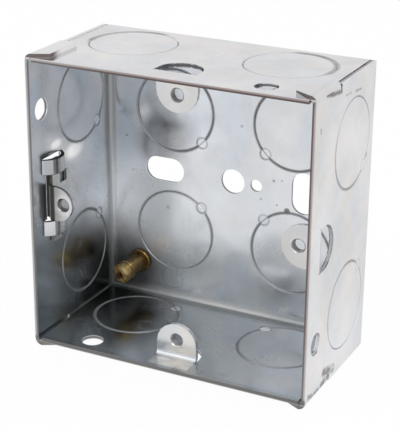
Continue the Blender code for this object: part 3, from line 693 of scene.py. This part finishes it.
def bends(n, p):
    """Where the bends round the back wall are, painted as shade, and where the bottom one has a painted
    highlight.
    """
    edges = (BEND_REACH, 0.5 * BEND_REACH)
    deep = n.span(p.depth, BACK - edges[0], BACK - edges[1])
    beside = n.span(p.wide, INNER - edges[0], INNER - edges[1])
    above = n.span(p.high, INNER - edges[0], INNER - edges[1])
    bend = n.product(n.highest(beside, above), deep, p.inside)
    bend_highlight = n.product(
        n.span(p.across, *BEND_HIGHLIGHT_RISE),
        n.span(p.across, *BEND_HIGHLIGHT_FALL),
        n.fall(p.up, *BEND_HIGHLIGHT_TOP),
    )
    return bend, bend_highlight


def floor_and_wall_shade(n, p):
    """Painted shade on the bottom wall, most in its middle and at its front edge, and on the left wall
    above.
    """
    across = n.product(n.span(p.across, *FLOOR_SHADE_LEFT), n.span(p.across, *FLOOR_SHADE_RIGHT))
    floor = n.product(p.on_floor, across, n.span(p.depth, *FLOOR_SHADE_FRONT))
    above = n.product(p.on_left, n.span(p.depth, *WALL_SHADE_DEPTH), n.span(p.up, *WALL_SHADE_UP))
    return n.product(n.highest(floor, above), p.inside, p.behind_rim)


def lower_left_shade_share(n, p):
    """Painted shade on the front of the inside's lower left, and a little on the left wall's front edge."""
    corner = n.product(
        n.fall(p.across, *LOWER_LEFT_SHADE_ACROSS),
        n.fall(p.up, *LOWER_LEFT_SHADE_UP),
        n.fall(p.depth, *LOWER_LEFT_SHADE_DEPTH),
        LOWER_LEFT_SHADE_SHARE,
    )
    edge = n.product(p.on_left, n.span(p.depth, *FRONT_EDGE_SHADE))
    return n.product(n.highest(corner, edge), p.inside, p.behind_rim)


def fair_share(n, p):
    """The back wall's left middle and lower part are dull and a little brighter."""
    left = n.span(p.across, *FAIR_ACROSS)
    low = n.span(p.up, *FAIR_BOTTOM)
    high = n.fall(p.up, *FAIR_TOP)
    return n.product(left, low, high, p.on_back, p.inside, FAIR_SHARE)


def screw_holes(n, p):
    """1 inside the accessory's screw holes and on their chamfers, which are painted dark grey as shade."""
    beside = n.distance(p.wide, p.up, SCREW_HOLE_OFFSET, 0.0)
    above = n.distance(p.across, p.high, 0.0, SCREW_HOLE_OFFSET)
    start, end = EAR_FRONT + HAIR, EAR_FRONT + 2 * HAIR
    reach = n.span(p.depth, start, end, SCREW_HOLE_RADIUS, CHAMFER_RADIUS, smooth=False)
    away = n.minus(n.math("MINIMUM", beside, above), reach)
    return n.product(n.fall(away, 0.0, 2 * HAIR), p.before_ear_back)


def ear_foot(n, p):
    """The warm patch of the bottom wall before its ear."""
    patch = n.product(
        n.fall(p.wide, *FOOT_WIDE),
        n.span(p.depth, *FOOT_START),
        n.fall(p.depth, *FOOT_DEPTH),
        n.fall(p.up, *inset(FOOT_HEIGHT)),
    )
    cloud = n.clouds(p.coords, FOOT_GRAIN, 4.0, (0.3, 0.7), (0.35, 0.9))
    return n.product(patch, p.inside, cloud)


def ear_share(n, p):
    """1 on the three ears, clear of the walls."""
    clear = n.product(
        n.fall(p.wide, EAR_CLEAR - HAIR, EAR_CLEAR),
        n.fall(p.high, EAR_CLEAR - HAIR, EAR_CLEAR),
    )
    return n.product(clear, n.span(p.depth, EAR_FRONT - 2 * HAIR, EAR_FRONT - HAIR), p.before_ear_back)


def rim_colour(n, p, sheet):
    """The sheared rim: dark inside, paler and rolled over towards the outside."""
    outermost = n.highest(p.wide, p.high)
    warmth = n.span(n.total(p.across, p.up), *RIM_WARMTH)
    dark = n.mix(warmth, RIM_GREY, RIM_BROWN)
    rolled = n.mix(warmth, RIM_ROLLED_GREY, RIM_ROLLED_BROWN)
    # The bottom's rim is dark through its whole thickness
    above = n.span(p.up, -INNER, SHEET - INNER)
    rolled_share = n.span(outermost, HALF - RIM_ROLLED[0], HALF - RIM_ROLLED[1])
    outer = n.mix(n.product(above, rolled_share), dark, rolled)
    pale_share = n.span(outermost, HALF - RIM_PALE[0], HALF - RIM_PALE[1])
    return n.mix(n.product(pale_share, n.span(above, 0.0, 1.0, *RIM_PALE_SHARES)), outer, sheet)


def terminal_shade_share(n, p):
    """How dark the painted shade in the corner by the terminal is."""
    in_plane = n.distance(p.across, p.up, TERMINAL_SHADE[0], TERMINAL_SHADE[1])
    away = n.distance(in_plane, p.depth, 0.0, TERMINAL_SHADE[2])
    ragged = n.total(away, n.wobble(p.coords, TERMINAL_SHADE_GRAIN, 5.0, 0.6, TERMINAL_SHADE_WOBBLE))
    full = n.span(p.on_back, 0.0, 1.0, *TERMINAL_SHADE_STRENGTHS)
    return n.product(n.fall(ragged, *TERMINAL_SHADE_REACH), full, p.inside)


def sheet_material():
    """The shell's galvanised sheet with its sheared lines and brown rim, painted shade by the terminal and
    elsewhere, and painted highlights.
    """
    n = Material("galvanised_sheet")
    p = Place(n)
    terminal_shade = terminal_shade_share(n, p)
    fair = fair_share(n, p)
    bend, bend_highlight = bends(n, p)
    cut = wall_cuts(n, p)
    tab, pale = tab_cuts(n, p)
    slit = corner_slits(n, p)
    holes = screw_holes(n, p)
    marks = n.highest(back_marks(n, p), side_marks(n, p), top_gap(n, p))
    shaded_cuts = n.highest(bridge_faces(n, p), slot_faces(n, p))
    rim = n.fall(p.depth, HAIR, 2 * HAIR)

    # The rings are worn here and there, and outside only some arcs of them show
    arcs = ring_arcs(n, p)
    lines, discs = knockout_lines(n, p, arcs)
    worn = n.clouds(p.coords, WEAR_GRAIN, 2.0, (0.35, 0.65), (0.6, 1.0))
    shown = n.total(n.minus(1.0, p.outside), n.product(p.outside, arcs))
    ring = n.product(lines, worn, shown, n.span(terminal_shade, *RING_IN_TERMINAL_SHADE))
    dim = dim_rings(n, p)
    cover = n.highest(n.span(dim, 0.0, 1.0, *RING_COVERS), n.product(p.outside, OUTER_RING_COVER))
    ring_share = n.product(ring, cover)
    disc_share = n.product(discs, p.inside, n.span(terminal_shade, *TIE_IN_TERMINAL_SHADE))

    # Each step lays one colour over the last
    colour = zinc_tone(n, p.coords)
    # Painted shade in the bends round the back wall, with a painted highlight on part of the bottom one
    colour = n.mix(n.product(bend, BEND_COVER), colour, n.mix(bend_highlight, BEND_SHADE, BEND_HIGHLIGHT))
    colour = n.mix(fair, colour, FAIR_COLOUR)
    # Painted shade in the corner by the terminal
    colour = n.tint(terminal_shade, colour, TERMINAL_SHADE_TINT)
    # Painted shade on the bottom wall and on the left wall's upper part
    colour = n.tint(floor_and_wall_shade(n, p), colour, FLOOR_AND_WALL_SHADE_TINT)
    # Painted shade on the inside's lower left and on the left wall's front edge
    colour = n.tint(lower_left_shade_share(n, p), colour, LOWER_LEFT_SHADE_TINT)
    colour = n.tint(p.outside, colour, n.mix(p.on_side, OUTSIDE_TINT, SIDE_TINT))
    # Painted highlights on the left wall above its upper bridge
    colour = n.mix(n.product(wall_highlights(n, p), HIGHLIGHT_COVER), colour, HIGHLIGHT_COLOUR)
    # The tie marks, painted bright with painted highlights on them
    colour = n.mix(disc_share, colour, HIGHLIGHT_COLOUR)
    colour = n.mix(ring_share, colour, n.mix(dim, LINE_COLOUR, DIM_LINE_COLOUR))
    # Dark marks of the back and right wall, and the painted shade of the top right gap
    colour = n.mix(n.product(marks, MARK_COVER), colour, MARK_AND_GAP_SHADE_COLOUR)
    colour = n.mix(n.product(cut, CUT_COVER), colour, n.mix(p.on_right, CUT_COLOUR, RIGHT_CUT_COLOUR))
    # The tabs' free edges painted pale, as painted light
    colour = n.mix(n.product(pale, TAB_COVER), colour, HIGHLIGHT_COLOUR)
    colour = n.mix(n.product(tab, TAB_COVER), colour, n.mix(p.upper, LOW_TAB_COLOUR, TAB_COLOUR))
    # Painted light in the top corner gap and painted shade in the bottom one
    colour = n.mix(slit, colour, n.mix(p.upper, SLIT_DARK, SLIT_PALE))
    to_right_ear = n.span(p.across, *RIGHT_EAR_START)
    colour = n.tint(ear_share(n, p), colour, n.mix(to_right_ear, EAR_TINT, RIGHT_EAR_TINT))
    # Painted shade inside the screw holes
    colour = n.mix(n.product(holes, HOLE_COVER), colour, HOLE_COLOUR)
    colour = n.mix(ear_foot(n, p), colour, FOOT_COLOUR)
    colour = n.tint(upper_bridge(n, p), colour, UPPER_BRIDGE_TINT)
    # The bridges' and slots' sheared faces painted near black, as painted shade
    colour = n.mix(shaded_cuts, colour, SHADED_CUT_COLOUR)
    colour = n.mix(n.product(rim, RIM_COVER), colour, rim_colour(n, p, colour))

    # Sheared rings, scratches and bends are dull, so they look grey from every side
    matt = n.highest(
        slit,
        pale,
        marks,
        n.product(holes, HOLE_MATT),
        n.product(ring, RING_MATT),
        n.product(fair, FAIR_MATT),
        n.product(bend, BEND_MATT),
        n.product(cut, p.on_right, RIGHT_CUT_MATT),
    )
    dull = n.product(n.highest(cut, tab, rim, shaded_cuts, ring, bend, slit), DULL_ROUGHNESS)
    rough = n.clouds(p.coords, ROUGH_GRAIN, 4.0, (0.3, 0.7), SHEET_ROUGHNESS)
    # The back wall in the painted shade by the terminal is dull, so it hardly mirrors the terminal
    terminal_shaded_back = n.product(n.span(terminal_shade, 0.0, 0.5), p.on_back, TERMINAL_SHADE_ROUGHNESS)
    n.shade(colour, n.minus(1.0, matt), n.total(rough, terminal_shaded_back, dull))
    n.put(n.shader.inputs["Normal"], n.bump(n.noise(p.coords, SHEEN_GRAIN), WAVE_HEIGHT, WAVE_STRENGTH))
    return n.material


def lug_material():
    """The lug's plating: duller than the sheet, its sheared edges painted dark partly as shade, painted
    shade in its bend, on its ear's foot and in its hole, and a painted highlight on its hole's collar.
    """
    n = Material("zinc_plate")
    coords, across, depth, up = box_place(n)
    half_core = LUG_SHEET / 2 - 2 * HAIR
    ear_edge = n.line_at(depth, LUG_FACE + LUG_SHEET / 2, half_core, HAIR)
    ear_edge = n.product(ear_edge, n.span(across, *inset(LUG_EAR_REACH)))
    # The tail's front faces stay bright; its sides and far end are painted dark as shade
    plate_edge = n.line_at(across, LUG_PLAY + LUG_SHEET / 2 - INNER, half_core, HAIR)
    behind = n.span(depth, LUG_TAIL_START + HAIR, LUG_TAIL_START + 4 * HAIR, 0.25, 1.0)
    # Painted shade in the ear's bend, joined below with that of the sheared edges
    in_bend = n.product(n.fall(across, *inset(LUG_BEND_REACH)), n.fall(depth, *LUG_BEND_DEPTH))
    dark = n.highest(n.product(ear_edge, LUG_EDGE_COVER), n.product(plate_edge, behind), in_bend)

    on_ear = n.fall(depth, *LUG_EAR_END)
    # Painted shade on the ear's foot, darkest next to the bend
    shaded_foot = n.product(n.fall(across, *inset(LUG_SHADE_REACH)), on_ear)
    from_hole = n.distance(across, up, -SCREW_HOLE_OFFSET, LUG_HOLE_UP)
    # A painted highlight on the collar round the hole, and painted shade inside the hole
    collar_highlight = n.product(n.span(from_hole, *COLLAR_INNER), n.fall(from_hole, *COLLAR_OUTER), on_ear)
    hole_shade = n.product(n.fall(from_hole, *LUG_HOLE_EDGE), on_ear)

    colour = n.mix(LUG_COVER, zinc_tone(n, coords), LUG_COLOUR)
    # Painted shade on the foot, a painted highlight on the collar, and painted shade in the hole, on the
    # edges and in the bend
    colour = n.tint(shaded_foot, colour, LUG_FOOT_SHADE_TINT)
    colour = n.mix(n.product(collar_highlight, COLLAR_COVER), colour, HIGHLIGHT_COLOUR)
    colour = n.mix(n.product(hole_shade, HOLE_COVER), colour, LUG_HOLE_COLOUR)
    colour = n.mix(n.product(dark, LUG_DARK_COVER), colour, SHADED_CUT_COLOUR)
    n.shade(colour, 1.0, n.clouds(coords, PLATE_GRAIN, 3.0, (0.3, 0.7), LUG_ROUGHNESS))
    return n.material


def brass_material(name, dark, light, on_screw):
    """Turned brass with a dull film; the screw's head is hollow, with painted shade in its lower left."""
    n = Material(name)
    coords, across, _, up = box_place(n)
    film = n.noise(coords, FINE_GRAIN, 4.0, 0.6)
    colour = n.mix(film, dark, light)
    if on_screw:
        edge = n.span(n.distance(across, up, *TERMINAL), *SCREW_RIM)
        hollow = n.span(n.distance(across, up, *SCREW_HOLLOW), *HOLLOW_REACH)
        colour = n.mix(n.product(edge, SCREW_EDGE_COVER), colour, SCREW_EDGE)
        colour = n.mix(hollow, colour, HOLLOW_COLOUR)
    n.shade(colour, 1.0, n.span(film, 0.3, 0.7, *BRASS_ROUGHNESS))
    return n.material


def paint(node, material):
    """Give a CAD node a material."""
    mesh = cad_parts[node].data
    mesh.materials.clear()
    mesh.materials.append(material)


def make_lamp(name, place, power):
    """A soft square lamp that looks at the box."""
    data = bpy.data.lights.new(name, "AREA")
    data.shape = "SQUARE"
    data.size = LAMP_SIZE
    data.energy = power
    lamp = bpy.data.objects.new(name, data)
    lamp.location = place
    lamp.rotation_euler = (Vector(LAMP_TARGET) - Vector(place)).to_track_quat("-Z", "Y").to_euler()
    bpy.context.scene.collection.objects.link(lamp)


def make_camera():
    """The photograph's view."""
    data = bpy.data.cameras.new("camera")
    data.sensor_fit = "VERTICAL"
    data.sensor_height = CAMERA_SENSOR
    data.lens = CAMERA_LENS
    data.clip_start = CAMERA_START
    camera = bpy.data.objects.new("camera", data)
    camera.location = CAMERA_PLACE
    camera.rotation_euler = [math.radians(turn) for turn in CAMERA_TURNS]
    bpy.context.scene.collection.objects.link(camera)
    bpy.context.scene.camera = camera


def shown_rays(n):
    """1 for the rays that meet the white background."""
    rays = n.add("ShaderNodeLightPath")
    return n.highest(*[rays.outputs[kind] for kind in SHOWN_RAYS])


def make_floor():
    """A plain pale floor that shows as white and keeps a soft shadow."""
    bpy.ops.mesh.primitive_plane_add(size=FLOOR_SIZE)
    floor = bpy.context.object
    floor.name = "floor"
    n = Material("floor_white")
    n.shade(FLOOR_COLOUR, 0.0, FLOOR_ROUGHNESS)
    emission = n.add("ShaderNodeEmission")
    emission.inputs["Strength"].default_value = 1.0
    mixer = n.add("ShaderNodeMixShader")
    n.put(mixer.inputs[0], n.product(shown_rays(n), FLOOR_WHITE_SHARE))
    n.put(mixer.inputs[1], n.shader.outputs[0])
    n.put(mixer.inputs[2], emission.outputs[0])
    n.put(n.tree.nodes["Material Output"].inputs["Surface"], mixer.outputs[0])
    floor.data.materials.append(n.material)


def make_world():
    """White to the camera and in reflections, and a soft even light elsewhere."""
    world = bpy.data.worlds.new("studio")
    bpy.context.scene.world = world
    world.use_nodes = True
    n = Nodes(world.node_tree)
    background = n.tree.nodes["Background"]
    background.inputs["Color"].default_value = (1, 1, 1, 1)
    level = n.span(shown_rays(n), 0.0, 1.0, SOFT_LEVEL, WHITE_LEVEL, smooth=False)
    n.put(background.inputs["Strength"], level)


paint("folded_shell", sheet_material())
paint("adjustable_lug", lug_material())
# The screw's head gets the light copy of the brass, painted as lit, and the pillar and washer the dark
# copy, painted as shaded
paint("earth_screw", brass_material("lit_brass", SCREW_DARK, SCREW_LIGHT, True))
shaded_brass = brass_material("shaded_brass", PILLAR_DARK, PILLAR_LIGHT, False)
paint("earth_pillar", shaded_brass)
paint("earth_washer", shaded_brass)

make_camera()
make_floor()
make_world()
for lamp_name, lamp_place, lamp_power in LAMPS:
    make_lamp(lamp_name, lamp_place, lamp_power)

bpy.context.scene.view_settings.view_transform = "Standard"
